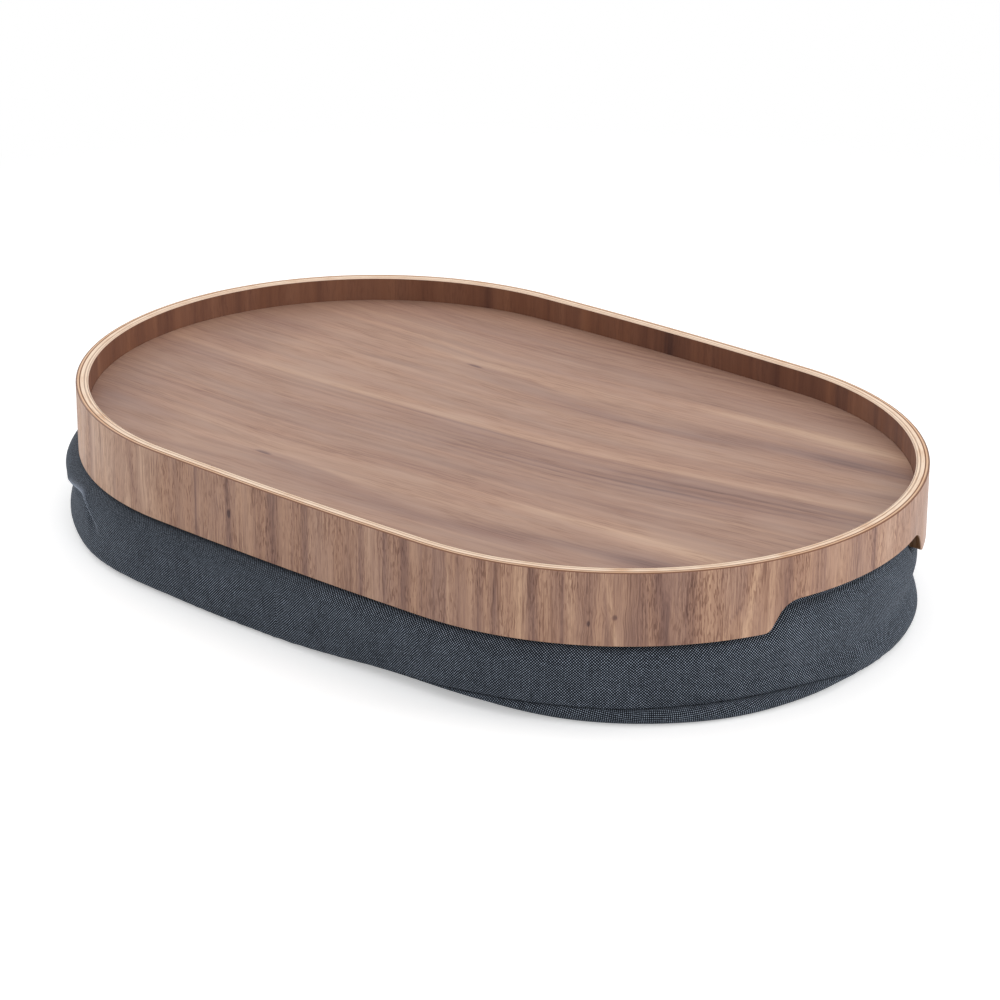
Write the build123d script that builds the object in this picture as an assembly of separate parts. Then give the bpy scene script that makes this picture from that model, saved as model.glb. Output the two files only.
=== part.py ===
"""Lap tray with a cushion: a bent plywood ring and board, held to a bead cushion by hook-and-loop patches.

X runs along the tray, Y across it and Z up. The origin is on the table, under the tray's centre.
"""

import os
from math import atan2, cos, radians, sin, tan

from build123d import *

# Tray outline: two end arcs, joined by two nearly straight side arcs that touch them smoothly
TRAY_LENGTH = 500.0
TRAY_WIDTH = 328.5
SIDE_RADIUS = 2610.0

# Heights of the rim and the floor inside it
RIM_HEIGHT = 39.1
CUSHION_BELOW_RIM = 40.9
FLOOR_DROP = 13.6

# Rim: a strip of five glued layers, bent to the outline, its ends meeting in a scarf joint
RIM_VENEER = 0.6
FACE_PLY = 1.4
CORE_PLY = 2.4
RIM_GLUE = 0.15
RIM_ARRIS = 0.3
SCARF_LEAN = 5.0
SCARF_GAP = 0.2

# Board: its core and backing enter a groove round the rim's inner face, its top veneer stops at the rim
BOARD_VENEER = 0.6
BOARD_CORE = 4.0
BOARD_TOP_GAP = 0.15
GROOVE_DEPTH = 1.5
GROOVE_END_GAP = 0.2

# Grip notch in the rim's lower edge, at the middle of each end
NOTCH_TOP_WIDTH = 115.0
NOTCH_DEPTH = 15.2
NOTCH_SLOPE = 60.0
NOTCH_UPPER_RADIUS = 13.0
NOTCH_LOWER_RADIUS = 5.0

# Hook patches under the board and loop patches on the cushion
PATCH_LENGTH = 70.0
PATCH_WIDTH = 25.0
PATCH_CORNER = 4.0
PATCH_SPACING_X = 250.0
PATCH_SPACING_Y = 150.0
HOOK_THICKNESS = 1.2
LOOP_THICKNESS = 1.4

# Cushion section: distances out from the rim's inner face, and heights above the table
ROLL_RADIUS = 7.0
ROLL_OUT = 9.5
SEAM_OUT = 7.4
SEAM_HEIGHT = 10.5
SWELL_OUT = 9.6
SWELL_HEIGHT = 25.0
NECK_GAP = 0.6
SHOULDER_RUN = 17.0

# Cushion layers, from the outside in
FABRIC = 1.0
LINER = 0.5
LAYER_GAP = 0.3

# Lengths that only help the construction: cuts run past by one, swept edges lap flat middles by the other
OVERRUN = 5.0
MIDDLE_LAP = 15.0

rim_thickness = 2 * RIM_VENEER + 2 * FACE_PLY + CORE_PLY + 4 * RIM_GLUE
rim_bottom = CUSHION_BELOW_RIM
rim_top = rim_bottom + RIM_HEIGHT
floor_top = rim_top - FLOOR_DROP
board_core_top = floor_top - BOARD_VENEER
board_core_bottom = board_core_top - BOARD_CORE
board_under = board_core_bottom - BOARD_VENEER
hook_under = board_under - HOOK_THICKNESS
cushion_top = hook_under - LOOP_THICKNESS
board_inset = rim_thickness - GROOVE_DEPTH + GROOVE_END_GAP

half_length = TRAY_LENGTH / 2
half_width = TRAY_WIDTH / 2
squares = half_length**2 + half_width**2
end_radius = (2 * SIDE_RADIUS * half_width - squares) / (2 * (SIDE_RADIUS - half_length))
end_centre = half_length - end_radius
side_centre = half_width - SIDE_RADIUS
joint_angle = atan2(-side_centre, end_centre)


def joint_point(inset):
    """Where an end arc meets the far side arc, on the outline moved inwards by inset."""
    reach = end_radius - inset
    return end_centre + reach * cos(joint_angle), reach * sin(joint_angle)


def outline(inset):
    """The tray's outline, moved inwards by inset, as a flat face at height 0."""
    x, y = joint_point(inset)
    tip = half_length - inset
    side = half_width - inset
    arcs = [
        ThreePointArc((x, -y), (tip, 0), (x, y)),
        ThreePointArc((x, y), (0, side), (-x, y)),
        ThreePointArc((-x, y), (-tip, 0), (-x, -y)),
        ThreePointArc((-x, -y), (0, -side), (x, -y)),
    ]
    return make_face(Wire(arcs)).face()


def plate(inset, low, high):
    """A flat plate with the tray's outline, between two heights."""
    return extrude(Pos(0, 0, low) * outline(inset), amount=high - low)


def hoop(inset, thickness, low, high):
    """An upright wall that follows the outline, between two heights."""
    hole = plate(inset + thickness, low - OVERRUN, high + OVERRUN)
    return plate(inset, low, high) - hole


# Rim

def grip_notch():
    """Cutter for one grip notch: a flat top, sloping ends and rounded corners, through the +X end."""
    half_top = NOTCH_TOP_WIDTH / 2
    half_bottom = half_top + NOTCH_DEPTH / tan(radians(NOTCH_SLOPE))
    side = half_bottom + NOTCH_LOWER_RADIUS + OVERRUN
    top = rim_bottom + NOTCH_DEPTH
    low = rim_bottom - OVERRUN
    corners = [(-side, low), (side, low), (side, rim_bottom), (half_bottom, rim_bottom)]
    corners += [(half_top, top), (-half_top, top), (-half_bottom, rim_bottom), (-side, rim_bottom)]
    shape = Polygon(*corners, align=None)
    upper = shape.vertices().group_by(Axis.Y)[-1]
    shape = fillet(upper, NOTCH_UPPER_RADIUS)
    level = shape.vertices().filter_by(lambda v: abs(v.Y - rim_bottom) < OVERRUN / 2)
    lower = level.sort_by(Axis.X)[1:-1]
    shape = fillet(lower, NOTCH_LOWER_RADIUS)
    start = Plane(origin=(end_centre, 0, 0), x_dir=(0, 1, 0), z_dir=(1, 0, 0))
    return extrude(start * shape, amount=end_radius + OVERRUN)


def scarf_slit():
    """Cutter for the thin slanting joint where the strip's two ends meet, at the middle of the front."""
    slope = SCARF_LEAN / rim_thickness
    outer_y, inner_y = -half_width - OVERRUN, rim_thickness - half_width + OVERRUN
    middle_y = (rim_thickness - TRAY_WIDTH) / 2
    outer_x, inner_x = slope * (outer_y - middle_y), slope * (inner_y - middle_y)
    half_gap = SCARF_GAP / 2
    corners = [(outer_x - half_gap, outer_y), (outer_x + half_gap, outer_y)]
    corners += [(inner_x + half_gap, inner_y), (inner_x - half_gap, inner_y)]
    slit = Polygon(*corners, align=None)
    return extrude(Pos(0, 0, rim_bottom - OVERRUN) * slit, amount=RIM_HEIGHT + 2 * OVERRUN)


notch = grip_notch()
rim_cutters = [notch, mirror(notch, about=Plane.YZ), scarf_slit()]


def rim_layer(inset, thickness):
    """One layer of the bent strip, with both grip notches and the scarf joint cut through."""
    return hoop(inset, thickness, rim_bottom, rim_top) - rim_cutters


def rim_outer_veneer():
    """Walnut face veneer, with its outer edges eased at the top and the bottom."""
    veneer = hoop(0, RIM_VENEER, rim_bottom, rim_top)
    ends = [veneer.faces().sort_by(Axis.Z)[place] for place in (0, -1)]
    edges = [edge for face in ends for edge in face.outer_wire().edges()]
    return chamfer(edges, RIM_ARRIS) - rim_cutters


def rim_inner_veneer():
    """Walnut veneer on the inner face, in two bands, with its upper inner edge eased."""
    veneer = hoop(inner_veneer_inset, RIM_VENEER, rim_bottom, rim_top)
    top = veneer.faces().sort_by(Axis.Z)[-1]
    return chamfer(top.inner_wires()[0].edges(), RIM_ARRIS) - rim_cutters - groove


outer_ply_inset = RIM_VENEER + RIM_GLUE
core_ply_inset = outer_ply_inset + FACE_PLY + RIM_GLUE
inner_ply_inset = core_ply_inset + CORE_PLY + RIM_GLUE
inner_veneer_inset = inner_ply_inset + FACE_PLY + RIM_GLUE
groove = hoop(rim_thickness - GROOVE_DEPTH, GROOVE_DEPTH + OVERRUN, board_under, board_core_top)

# Cushion

def section_points():
    """The named corners of the cushion's section, from the base to the top seam."""
    base = (ROLL_OUT - ROLL_RADIUS, 0)
    roll = (ROLL_OUT, ROLL_RADIUS)
    seam = (SEAM_OUT, SEAM_HEIGHT)
    swell = (SWELL_OUT, SWELL_HEIGHT)
    neck = (-NECK_GAP, rim_bottom - NECK_GAP)
    top_seam = (-SHOULDER_RUN, cushion_top)
    return base, roll, seam, swell, neck, top_seam


middle_edge = -SHOULDER_RUN - 2 * MIDDLE_LAP


def cover_section(inset):
    """Half section of the cushion: rolled base, seam drawn in, swollen side, neck under the rim, shoulder."""
    base, roll, seam, swell, neck, top_seam = section_points()
    edges = [
        Line((middle_edge, 0), base),
        TangentArc(base, roll, tangent=(1, 0)),
        TangentArc(roll, seam, tangent=(0, 1)),
        ThreePointArc(seam, swell, neck),
        TangentArc(top_seam, neck, tangent=(1, 0)),
        Line(top_seam, (middle_edge, cushion_top)),
        Line((middle_edge, cushion_top), (middle_edge, 0)),
    ]
    face = make_face(Wire(edges)).face()
    return offset(face, -inset) if inset else face


def bag_section(inset):
    """Half section of the bead bag, which lies loosely in the cover with straight sides."""
    base, roll, seam, swell, neck, top_seam = section_points()
    corners = [(middle_edge, 0), base, seam, swell, neck, top_seam, (middle_edge, cushion_top)]
    return offset(Polygon(*corners, align=None), -inset, kind=Kind.INTERSECTION)


def cushion_body(section, inset):
    """A section carried round the rim's inner outline, with its flat middle filled in."""
    x, y = joint_point(rim_thickness)
    outward = (cos(joint_angle), -sin(joint_angle), 0)
    along = (-sin(joint_angle), -cos(joint_angle), 0)
    stand = Plane(origin=(x, -y, 0), x_dir=outward, z_dir=along)
    edge = sweep(stand * section(inset), path=outline(rim_thickness).outer_wire())
    middle = plate(rim_thickness + SHOULDER_RUN + MIDDLE_LAP, inset, cushion_top - inset)
    return edge + middle


cover = cushion_body(cover_section, 0) - cushion_body(cover_section, FABRIC)
bag_inset = FABRIC + LAYER_GAP
bag_void_inset = bag_inset + LINER
fill_inset = bag_void_inset + LAYER_GAP
reach = rim_thickness - ROLL_OUT - OVERRUN
above_seam = plate(reach, SEAM_HEIGHT, cushion_top + OVERRUN)
top_prism = plate(rim_thickness + SHOULDER_RUN, cushion_top - 2 * FABRIC, cushion_top + OVERRUN)


def patches(low, thickness):
    """Four patches with rounded corners, two along each side."""
    places = GridLocations(PATCH_SPACING_X, PATCH_SPACING_Y, 2, 2)
    shape = Sketch() + places * RectangleRounded(PATCH_LENGTH, PATCH_WIDTH, PATCH_CORNER)
    return extrude(Pos(0, 0, low) * shape, amount=thickness)


nodes = {
    "rim_outer_veneer": rim_outer_veneer(),
    "rim_outer_ply": rim_layer(outer_ply_inset, FACE_PLY),
    "rim_core_ply": rim_layer(core_ply_inset, CORE_PLY),
    "rim_inner_ply": rim_layer(inner_ply_inset, FACE_PLY) - groove,
    "rim_inner_veneer": rim_inner_veneer(),
    "board_top_veneer": plate(rim_thickness + BOARD_TOP_GAP, board_core_top, floor_top),
    "board_core": plate(board_inset, board_core_bottom, board_core_top),
    "board_backing_veneer": plate(board_inset, board_under, board_core_bottom),
    "hook_patches": patches(hook_under, HOOK_THICKNESS),
    "loop_patches": patches(cushion_top, LOOP_THICKNESS),
    "cushion_top_panel": cover & top_prism,
    "cushion_side_band": (cover & above_seam) - top_prism,
    "cushion_bottom_panel": cover - above_seam,
    "bead_bag": cushion_body(bag_section, bag_inset) - cushion_body(bag_section, bag_void_inset),
    "bead_fill": cushion_body(bag_section, fill_inset),
}

os.makedirs("parts", exist_ok=True)
for name, solid in nodes.items():
    export_step(solid, f"parts/{name}.step")
    print(name, len(solid.solids()), round(solid.volume))
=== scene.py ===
"""Looks of the lap tray: bent walnut-faced rim and board on a woven bead cushion, built on the packed frame."""

import math

import bpy
import numpy as np
from mathutils import Matrix, Vector


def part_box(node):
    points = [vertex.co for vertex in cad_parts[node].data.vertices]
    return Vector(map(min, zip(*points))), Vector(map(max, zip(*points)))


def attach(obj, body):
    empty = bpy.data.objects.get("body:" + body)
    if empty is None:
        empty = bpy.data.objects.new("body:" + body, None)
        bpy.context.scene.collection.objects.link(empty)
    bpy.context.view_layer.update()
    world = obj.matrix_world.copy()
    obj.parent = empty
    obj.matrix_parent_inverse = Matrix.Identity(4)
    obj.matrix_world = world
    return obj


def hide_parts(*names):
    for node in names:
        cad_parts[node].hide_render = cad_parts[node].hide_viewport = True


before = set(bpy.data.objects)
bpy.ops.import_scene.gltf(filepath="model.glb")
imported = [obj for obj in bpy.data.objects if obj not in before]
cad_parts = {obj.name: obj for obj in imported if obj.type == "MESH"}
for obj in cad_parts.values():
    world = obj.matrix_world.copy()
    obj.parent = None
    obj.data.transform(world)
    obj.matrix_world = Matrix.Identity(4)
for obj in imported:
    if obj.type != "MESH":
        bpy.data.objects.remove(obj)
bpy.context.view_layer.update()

bl_info = {
    "name": "Lap Tray with Cushion",
    "version": (1, 0, 0),
    "blender": (4, 5, 0),
    "location": "View3D > Sidebar > Lap Tray",
    "description": "Builds a bent plywood lap tray with walnut faces, its woven bead cushion and a plain stage",
    "category": "Object",
}

MM = 0.001


def linear(code):
    """sRGB hex code to linear red, green, blue and alpha."""
    parts = np.array([int(code[i:i + 2], 16) for i in (0, 2, 4)]) / 255
    rgb = np.where(parts <= 0.04045, parts / 12.92, ((parts + 0.055) / 1.055) ** 2.4)
    return (*[float(v) for v in rgb], 1.0)


def length(name, description, mm):
    """A length property with its default given in millimetres."""
    return bpy.props.FloatProperty(name=name, description=description, default=mm * MM, unit="LENGTH", precision=5)


def angle(name, description, radians):
    """An angle property with its default given in radians."""
    return bpy.props.FloatProperty(name=name, description=description, default=radians, subtype="ANGLE")


def power(name, description, watts):
    """A lamp's power with its default given in watts."""
    return bpy.props.FloatProperty(name=name, description=description, default=watts, unit="POWER")


def colour(name, description, code):
    """A colour property with its default given as an sRGB hex code."""
    return bpy.props.FloatVectorProperty(
        name=name, description=description, default=linear(code), size=4, min=0, max=1, subtype="COLOR")


class TrayShape(bpy.types.PropertyGroup):
    """Sizes of the bent rim and the board."""
    length: length("Length", "Tray length over the outer veneer", 500)
    width: length("Width", "Tray width over the outer veneer", 328.5)
    side_radius: length("Side radius", "Radius of the two long, nearly straight sides", 2610)
    rim_low: length("Rim bottom", "Height of the rim's lower edge above the table", 40.9)
    rim_high: length("Rim top", "Height of the rim's upper edge above the table", 80)
    floor: length("Floor", "Height of the board's upper face above the table", 66.4)
    groove_low: length("Groove bottom", "Height of the board's underside above the table", 61.2)
    groove_high: length("Groove top", "Height where the inner veneer starts above the board", 65.8)
    veneer: length("Veneer", "Thickness of each walnut face", 0.6)
    face_ply: length("Face ply", "Thickness of the outer and inner birch ply", 1.4)
    core_ply: length("Core ply", "Thickness of the middle birch ply", 2.4)
    glue: length("Glue line", "Gap between two layers of the rim", 0.15)
    arris: length("Arris", "Eased corner of the rim's outer edges", 0.35)
    board_gap: length("Board gap", "Gap between the floor veneer and the rim", 0.15)
    notch_top: length("Notch top", "Width of a grip notch at its top", 115)
    notch_depth: length("Notch depth", "Height of a grip notch", 15.2)
    notch_upper: length("Notch upper radius", "Corner radius at the notch's top", 13)
    notch_lower: length("Notch lower radius", "Corner radius at the rim's lower edge", 5)
    notch_slope: angle("Notch slope", "Slope of the notch's ends", math.radians(60))
    scarf_lean: length("Scarf lean", "How far the strip's end joint runs along the rim", 5)
    scarf_gap: length("Scarf gap", "Width of the fine line at the strip's end joint", 0.2)


class CushionShape(bpy.types.PropertyGroup):
    """Sizes of the cushion's cover and its weave."""
    top: length("Top", "Height of the cushion's top panel above the table", 58.6)
    crown: length("Crown", "How far the top panel rises between its patches", 1.4)
    shoulder: length("Shoulder", "Distance from the rim's outer face in to the top seam", 24.0)
    pucker: length("Pucker", "Depth of the small folds that the lower seam draws in", 0.45)
    crease: length("Crease", "Depth of the crease round the left end", 2.3)
    crease_height: length("Crease height", "Least height of that crease above the table", 18.0)
    thread: length("Thread spacing", "Distance from one thread of the plain weave to the next", 0.74)


class WoodLook(bpy.types.PropertyGroup):
    """Colours of the walnut and the birch."""
    # also painted on the rim's lower edge and arris as a painted highlight
    pale: colour("Walnut pale", "Pale streaks of the walnut", "C8A48A")
    middle: colour("Walnut middle", "Main colour of the walnut", "AC8772")
    deep: colour("Walnut deep", "Purple-brown streaks of the walnut", "866458")
    knot: colour("Walnut knot", "Knots and the darkest streaks", "543733")
    # multiplied over the rim's whole inner walnut face, so that it comes out darker than the outer face
    inner: colour("Inner walnut", "Tint over the darker leaf inside the rim", "AF9383")
    end_grain: colour("Walnut edge", "Cut edge of the outer veneer", "7A4E34")
    inner_edge: colour("Inner walnut edge", "Cut edge of the inner veneer, bleached by sanding", "E3C6AE")
    birch: colour("Birch", "Cut edge of the birch plies", "F3DAC2")
    birch_deep: colour("Birch deep", "Fibre lines in the birch edge", "D0A078")
    bond: colour("Bond line", "Glue-soaked wood beside each glue line", "8A5A3C")
    # painted shade: dark brown laid on the rim's lower edge and into the grip notches, where the edge lies in shade
    painted_edge_shade: colour("Edge stain", "Brown stain on the rim's lower edge and in the grip notches", "64401F")


class ClothLook(bpy.types.PropertyGroup):
    """Colours of the cover and the patches."""
    pale: colour("Pale thread", "Pale grey threads of the cover", "ACB8C9")
    dark: colour("Dark thread", "Navy threads of the cover", "070A10")
    nap: colour("Nap", "Short nap that catches side light", "B9C4D6")
    # also painted along the left end's crease ridge as a painted highlight
    hook: colour("Hook tape", "Moulded hooks under the board", "1B1C1F")
    loop: colour("Loop tape", "Brushed loops on the cushion", "24262B")


class StageLook(bpy.types.PropertyGroup):
    """Camera, lamps and floor."""
    camera: bpy.props.FloatVectorProperty(
        name="Camera", description="Place of the camera", default=(1.1290, -1.3257, 0.7570), subtype="TRANSLATION")
    yaw: angle("Yaw", "Camera's turn about the vertical", -0.7024966)
    pitch: angle("Pitch", "Camera's tilt below the horizon", 0.3974028)
    roll: angle("Roll", "Camera's roll", 0.0041145)
    lens: bpy.props.FloatProperty(name="Lens", description="Lens in millimetres on a 36 mm sensor", default=124.73)
    floor: colour("Floor", "Pale floor under the tray", "F7F7F7")
    world: bpy.props.FloatProperty(name="World light", description="Even light from all round", default=0.62)
    top: power("Top lamp", "Power of the soft box overhead", 7)
    side: power("Side lamps", "Power of each side soft box", 14)
    front: power("Front lamp", "Power of the front soft box", 6)


def dress(node, material):
    """Gives a node of the frame its material."""
    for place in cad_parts[node].material_slots:
        place.material = material


# Meshes from grids

def put_mesh(name, points, faces, material, uv=None, attributes=(), angle=35):
    """Mesh from an array of points and a list of face arrays, one for each number of corners, smooth but for edges
    over the angle in degrees."""
    corners = np.concatenate([group.ravel() for group in faces]).astype(np.int32)
    sizes = np.concatenate([np.full(len(group), group.shape[1], np.int32) for group in faces])
    mesh = bpy.data.meshes.new(name)
    mesh.vertices.add(len(points))
    mesh.vertices.foreach_set("co", np.ascontiguousarray(points, np.float32).ravel())
    mesh.loops.add(len(corners))
    mesh.loops.foreach_set("vertex_index", corners)
    mesh.polygons.add(len(sizes))
    mesh.polygons.foreach_set("loop_start", np.cumsum(sizes, dtype=np.int32) - sizes)
    mesh.polygons.foreach_set("use_smooth", np.ones(len(sizes), bool))
    mesh.update(calc_edges=True)
    if uv is not None:
        mesh.uv_layers.new(name="cloth_or_grain").data.foreach_set("uv", uv[corners].astype(np.float32).ravel())
    for key, values in dict(attributes).items():
        mesh.attributes.new(key, "FLOAT", "POINT").data.foreach_set("value", values.astype(np.float32).ravel())
    mesh.validate()
    mesh.set_sharp_from_angle(angle=math.radians(angle))
    mesh.materials.append(material)
    obj = bpy.data.objects.new(name, mesh)
    bpy.context.scene.collection.objects.link(obj)
    return obj


def grid_faces(rows, columns, wrap_rows=False, wrap_columns=False):
    """Faces of a grid whose point number is row times columns plus column; a wrapped way closes on itself."""
    r = np.arange(rows if wrap_rows else rows - 1)[:, None]
    c = np.arange(columns if wrap_columns else columns - 1)[None, :]
    r2, c2 = (r + 1) % rows, (c + 1) % columns
    corners = [r * columns + c, r2 * columns + c, r2 * columns + c2, r * columns + c2]
    return np.stack(corners, -1).reshape(-1, 4)


def smooth(value):
    """0 below 0, 1 above 1, and an even S-curve between."""
    t = np.clip(value, 0, 1)
    return t * t * (3 - 2 * t)


def ramp(value, start, run):
    """The same S-curve of a value: 0 at its start and 1 one run further on, or back where the run is below 0."""
    return smooth((value - start) / run)


def bell(value, middle, spread):
    """Bell curve: 1 at its middle, and exp(-1) at one spread from it."""
    return np.exp(-((value - middle) / spread) ** 2)


def waves(values, period, count, seed):
    """Sum of sines of whole periods round the rim, with seeded phases, scaled to about -1 to 1."""
    draw = np.random.default_rng(seed)
    total = np.zeros_like(values)
    for _ in range(count):
        turns = draw.integers(2, 2 + 3 * count)
        total += np.sin(2 * np.pi * turns * values / period + draw.uniform(0, 2 * np.pi)) / count ** 0.5
    return total


# Outline

LAST_PART = 0.7  # share of the way round the rim from which distances count back from the joint


def arcs(shape):
    """End radius, end centre, side centre and joint angle of the outline, from its length, width and side radius."""
    long, wide, radius = shape.length / 2, shape.width / 2, shape.side_radius
    end = (2 * radius * wide - long ** 2 - wide ** 2) / (2 * (radius - long))
    return end, long - end, radius - wide, math.atan2(radius - wide, long - end)


def rim_thickness(shape):
    """All five layers of the rim and the four glue lines between them."""
    return shape.veneer * 2 + shape.face_ply * 2 + shape.core_ply + shape.glue * 4


def perimeter(shape):
    """Length round the rim's outer face: two side arcs and two end arcs."""
    end, _, _, joint = arcs(shape)
    return 4 * shape.side_radius * (math.pi / 2 - joint) + 4 * end * joint


def outline(shape, s, out):
    """Point and outward normal at distance s along the outer face from the front's middle, moved outwards by out.
    Each arc turns evenly: angle = distance / radius, and a point is centre + (radius + out) * normal."""
    end, end_centre, side_centre, joint = arcs(shape)
    side_run, end_run = 2 * shape.side_radius * (math.pi / 2 - joint), 2 * end * joint
    t = np.mod(s + side_run / 2, 2 * (side_run + end_run))
    half = t >= side_run + end_run
    t = np.where(half, t - side_run - end_run, t)
    on_side = t < side_run
    turn = np.where(on_side, (t - side_run / 2) / shape.side_radius - math.pi / 2, (t - side_run) / end - joint)
    radius = np.where(on_side, shape.side_radius, end) + out
    flip = np.where(half, -1.0, 1.0)
    nx, ny = flip * np.cos(turn), flip * np.sin(turn)
    x = np.where(on_side, 0, flip * end_centre) + radius * nx
    y = np.where(on_side, flip * side_centre, 0) + radius * ny
    return x, y, nx, ny


def from_joint(shape, s):
    """Distance along the rim from the joint in front, below 0 over the last part of the way round."""
    around = perimeter(shape)
    return np.where(s > LAST_PART * around, s - around, s)


def notch_edge(shape, x, y):
    """Height of the rim's lower edge: the grip notch's flat top, rounded corner, slope and rounded foot, by |y|."""
    slope, upper, lower = shape.notch_slope, shape.notch_upper, shape.notch_lower
    base, top = shape.rim_low, shape.rim_low + shape.notch_depth
    half = shape.notch_top / 2
    y1 = half - upper * math.tan(slope / 2)
    y2 = y1 + upper * math.sin(slope)
    y4 = half + shape.notch_depth / math.tan(slope) + lower * math.tan(slope / 2)
    y3 = y4 - lower * math.sin(slope)
    a = np.abs(y)
    high = top - upper + np.sqrt(np.maximum(upper ** 2 - (a - y1) ** 2, 0))
    line = top - (a - half) * math.tan(slope)
    foot = base + lower - np.sqrt(np.maximum(lower ** 2 - (y4 - a) ** 2, 0))
    edge = np.select([a < y1, a < y2, a < y3, a < y4], [np.full_like(a, top), high, line, foot], base)
    return np.where(np.abs(x) > arcs(shape)[1], edge, base)


NOTCH_END = (46, 72, 38)  # where a notch's end starts and stops, in mm from the notch's middle, and its steps


def rim_steps(shape, pace):
    """Distances along the rim: one pace apart, and 0.7 mm apart at the ends of the grip notches."""
    around = perimeter(shape)
    steps = [np.linspace(0, around, int(around / pace) + 1)]
    for middle in (0.25, 0.75):
        for side in (-1, 1):
            steps.append(middle * around + side * np.linspace(*NOTCH_END) * MM)
    return np.unique(np.concatenate(steps).round(6))


# Walnut figure

OUTER_STREAKS = (
    # distance from the joint mm, half width mm, darkness, lean mm per mm of height
    (-150, 55, -0.15, 0), (-186, 16, -0.22, 0), (-161, 2.5, 0.16, 0), (-152, 5, -0.14, 0), (-138, 12, -0.16, 0),
    (-100, 11, -0.2, 0.1), (-128, 5, 0.07, 0.1), (-112, 4, 0.16, 0.12), (-99, 1, 0.18, 0.1), (-90, 7, -0.05, 0.1),
    (-76, 2, 0.08, 0.05), (-62, 1, 0.3, 0), (-52, 5, 0.05, 0), (-38, 2.2, 0.28, 0.02), (-28, 5, -0.08, 0),
    (-17, 3, 0.04, 0), (-6, 3.2, 0.26, 0), (6, 6, -0.02, 0), (17, 2.5, 0.3, 0), (30, 7, -0.05, 0),
    (46, 2, 0.05, 0), (54, 1.2, 0.22, 0), (62, 4, -0.12, 0), (70, 0.9, 0.26, 0), (82, 3, 0.24, 0),
    (88, 1.5, -0.12, 0), (94, 2, 0.1, 0), (104, 4, 0.2, 0), (110, 1.2, -0.26, 0), (116, 1.2, 0.18, 0),
    (122, 1.4, -0.08, 0), (128, 2, 0.26, 0), (136, 1.6, 0.24, 0), (140, 1.4, -0.14, 0), (148, 3.4, -0.3, 0),
    (155, 2.4, 0.34, 0), (162, 1.6, -0.1, 0), (167, 1.2, 0.22, 0), (170, 1.4, 0.26, 0), (174, 2, -0.26, 0.04),
    (182, 5, 0.16, 0), (188, 1.8, -0.16, -0.03), (192, 1, 0.06, 0), (194, 1.6, -0.4, 0.16), (206, 6, 0.22, 0),
    (219, 4, 0.3, 0.1), (230, 5, 0.14, 0.06), (242, 3, -0.18, 0), (250, 4, -0.04, 0), (264.4, 1.9, -0.42, -0.14),
    (258, 3, 0.12, -0.2), (275.5, 1.3, -0.24, -0.05), (284, 5, 0.22, 0), (297, 3, -0.12, 0), (305, 3, 0.12, 0),
    (318, 3, -0.22, 0), (330, 3, 0.12, 0), (344, 1.4, 0.34, 0), (362, 16, -0.14, 0), (374, 3, 0.05, 0),
    (384, 4, 0.06, 0),
)
OUTER_KNOTS = (
    # distance from the joint mm, height mm, half width mm, half height mm, darkness
    (-37.2, 60.2, 1.9, 2.6, 0.42), (183, 52.8, 1.2, 1.7, 0.42), (195.6, 56.5, 1.8, 1.6, 0.5),
)
OUTER_PEAKS = (
    # distance from the joint mm, height of the tip mm, spread to the left and right mm per mm down
    (259, 58.5, 0.8, 0.25), (-118, 74, 0.1, 0.35),
)
OUTER_DRAWN = (70, 395, 1160, 11)  # number, first and last distance mm, and seed of the streaks drawn by chance
INNER_DRAWN = (150, -400, 960, 5)
INNER_STREAKS = (
    # broad tones inside the rim, as in OUTER_STREAKS
    (910, 90, -0.16, 0), (530, 80, 0.12, 0),
)
WALL_LINES = (
    # weight, across mm, along mm, detail, shift: bands, then stripes, then hair lines
    (0.45, 7, 130, 2, 5.3), (0.36, 1.7, 60, 2, 1.9), (0.5, 0.45, 26, 1, 8.4),
)
INNER_LINES = ((0.5, 6, 200, 2, 5.3), (0.3, 2.2, 90, 2, 1.9), (0.12, 0.7, 30, 1, 8.4))
FLOOR_LINES = ((0.2, 11, 190, 2, 5.3), (0.26, 2.4, 170, 1, 1.9), (0.12, 0.9, 60, 1, 8.4))
WALL_PORES = ((0.9, 9, 0.3), (0.42, 24, 0.65), (0.5, 4.2, 0.75))  # across mm, along mm, depth
INNER_PORES = ((0.6, 6, 0.3),)
FLOOR_PORES = ((0.7, 16, 0.34),)
PORE_SHADE = (0.42, 0.30, 0.26, 1)  # multiplied in where a pore is open
WAVER = 0.9 * MM  # how far the grain strays to either side
WALL_WARMTH = (1.0, 0.965, 0.91, 1)  # multiplied into the warmer patches of a veneer
FLOOR_WARMTH = (1.0, 0.975, 0.975, 1)
FLOOR_TINT = (0.985, 1.0, 1.0, 1)
LEAF = 172.3  # width in mm of one leaf of the floor's veneer
FLOOR_STREAKS = (
    # distance across the leaf mm from its pale line, half width mm, darkness
    (0, 2.8, -0.2), (6, 5, -0.06), (-4.5, 1.4, 0.16), (-9.5, 1.2, 0.12), (-14.5, 1.2, 0.14), (-20, 1.3, 0.1),
    (-25, 1.2, 0.14), (-30, 1.3, 0.12), (-35.5, 1.3, 0.14), (-41, 1.4, 0.12), (-46, 1.3, 0.12), (-52, 1.5, 0.1),
    (-59, 1.5, 0.08), (-66, 1.8, 0.07), (-30, 22, 0.05), (-84, 2.6, -0.1), (-78, 2, 0.05), (96, 3.5, 0.04),
    (102, 2, 0.05),
)
FLOOR_KNOTS = ((-72, 70.6), (-72, -101.7))
FLOOR_KNOT_SHAPE = (2.4, 5.8, 0.32)  # half width mm, half length mm, darkness
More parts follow.
